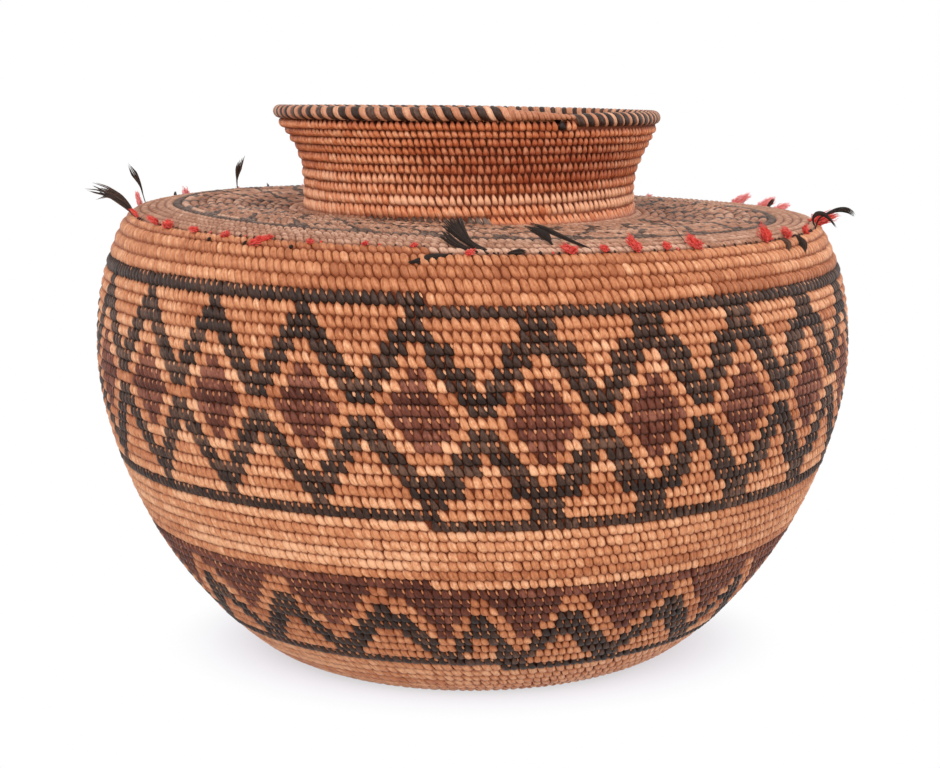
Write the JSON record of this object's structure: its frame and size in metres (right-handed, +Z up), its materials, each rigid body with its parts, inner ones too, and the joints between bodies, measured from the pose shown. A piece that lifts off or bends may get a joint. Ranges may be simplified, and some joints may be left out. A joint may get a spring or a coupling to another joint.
{
  "type": "coiled bottleneck basket",
  "caption": "Coiled bottleneck basket with a round belly, flat shoulder and short flared neck, banded patterns, and wool tufts and crest feathers sewn in at the shoulder's edge.",
  "frame": {"origin": "centre of the flat base, on the floor", "axes": "+Z up along the basket's axis, -Y the side that the picture shows, +X to that side's right"},
  "size_m": [0.231, 0.23, 0.1684],
  "materials": {
    "sedge": "split sedge root over a grass bundle, warm tan, matte with a slight sheen",
    "bracken": "dyed bracken root, charcoal black, matte",
    "redbud": "split redbud bark, dark red-brown, matte",
    "wool": "frayed red wool yarn",
    "topknot": "black quail crest feather, soft dark sheen"
  },
  "bodies": {
    "root": {"start_coil": "sedge", "base_disc": "sedge", "heel_courses": "sedge", "base_line_course": "bracken", "zigzag_courses": "redbud", "plain_belly_courses": "sedge", "lower_border_course": "bracken", "diamond_courses": "redbud", "upper_border_course": "bracken", "plain_shoulder_courses": "sedge", "tuft_course": "sedge", "shoulder_plain_courses": "sedge", "shoulder_ring_course": "bracken", "shoulder_pattern_courses": "sedge", "neck_courses": "sedge", "rim_coil": "bracken", "wool_tuft_01": "wool", "wool_tuft_02": "wool", "wool_tuft_03": "wool", "wool_tuft_04": "wool", "wool_tuft_05": "wool", "wool_tuft_06": "wool", "wool_tuft_07": "wool", "wool_tuft_08": "wool", "wool_tuft_09": "wool", "wool_tuft_10": "wool", "wool_tuft_11": "wool", "wool_tuft_12": "wool", "wool_tuft_13": "wool", "wool_tuft_14": "wool", "wool_tuft_15": "wool", "wool_tuft_16": "wool", "wool_tuft_17": "wool", "wool_tuft_18": "wool", "wool_tuft_19": "wool", "wool_tuft_20": "wool", "wool_tuft_21": "wool", "wool_tuft_22": "wool", "wool_tuft_23": "wool", "wool_tuft_24": "wool", "wool_tuft_25": "wool", "left_fan_feather_low": "topknot", "left_fan_feather_mid": "topknot", "left_fan_feather_high": "topknot", "left_upright_feather": "topknot", "back_left_feather": "topknot", "left_stub_feather": "topknot", "back_stub_feather": "topknot", "front_fan_feather_left": "topknot", "front_fan_feather_mid": "topknot", "front_fan_feather_right": "topknot", "front_low_feather": "topknot", "front_stub_feather": "topknot", "right_front_feather_low": "topknot", "right_front_feather_high": "topknot", "right_drooping_feather_dark": "topknot", "right_drooping_feather_curl": "topknot", "right_tip_feather_thin": "topknot", "right_tip_feather_curl": "topknot", "back_right_feather": "topknot"}
  },
  "joints": []
}
